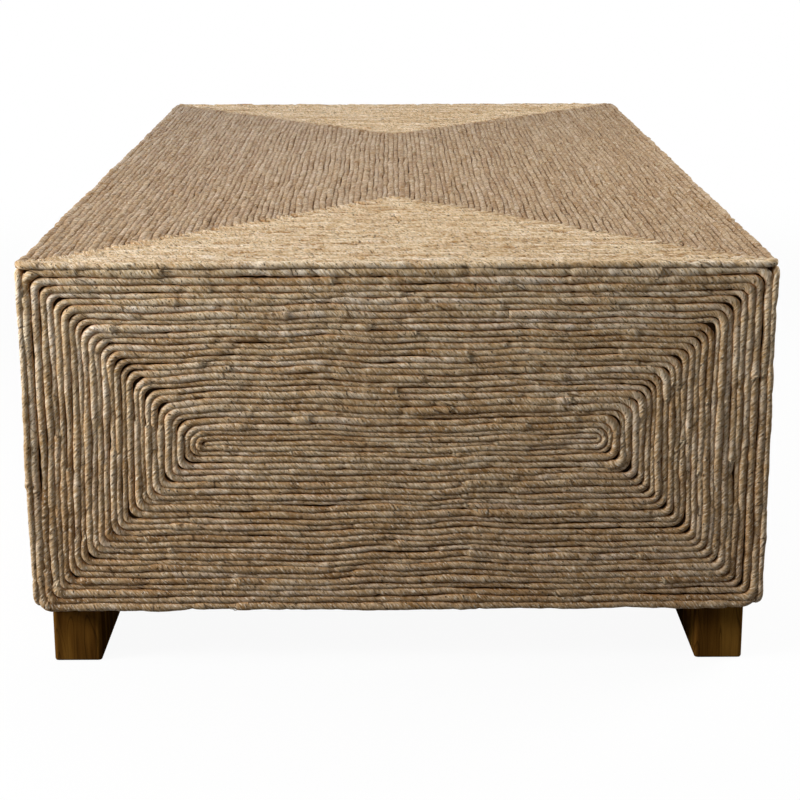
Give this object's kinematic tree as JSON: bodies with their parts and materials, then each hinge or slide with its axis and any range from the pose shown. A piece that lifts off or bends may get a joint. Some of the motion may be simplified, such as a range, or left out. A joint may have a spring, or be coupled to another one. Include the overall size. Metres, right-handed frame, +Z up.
{
  "type": "coffee table",
  "caption": "Low rectangular table with a box body wound on every face with twisted leaf rope, on block legs.",
  "frame": {"origin": "on the floor, under the middle of the table", "axes": "+X across the width, +Y along the length away from the front end, +Z up"},
  "size_m": [0.711, 1.219, 0.406],
  "materials": {
    "rope": "matte twisted leaf rope",
    "board": "dark stained plywood",
    "frame_wood": "planed softwood",
    "leg_wood": "dark oiled hardwood, satin",
    "steel": "zinc plated"
  },
  "bodies": {
    "root": {"top_winding": "rope", "front_end_winding": "rope", "back_end_winding": "rope", "left_side_winding": "rope", "right_side_winding": "rope", "top_board": "board", "left_side_board": "board", "right_side_board": "board", "front_end_board": "board", "back_end_board": "board", "front_left_post": "frame_wood", "front_right_post": "frame_wood", "back_left_post": "frame_wood", "back_right_post": "frame_wood", "left_bottom_rail": "frame_wood", "right_bottom_rail": "frame_wood", "front_bottom_rail": "frame_wood", "back_bottom_rail": "frame_wood", "left_top_rail": "frame_wood", "right_top_rail": "frame_wood", "front_top_rail": "frame_wood", "back_top_rail": "frame_wood", "top_bearer_1": "frame_wood", "top_bearer_2": "frame_wood", "top_bearer_3": "frame_wood", "front_left_leg": "leg_wood", "front_right_leg": "leg_wood", "back_left_leg": "leg_wood", "back_right_leg": "leg_wood", "front_left_leg_screw_outer": "steel", "front_left_leg_screw_inner": "steel", "front_right_leg_screw_outer": "steel", "front_right_leg_screw_inner": "steel", "back_left_leg_screw_outer": "steel", "back_left_leg_screw_inner": "steel", "back_right_leg_screw_outer": "steel", "back_right_leg_screw_inner": "steel"}
  },
  "joints": []
}
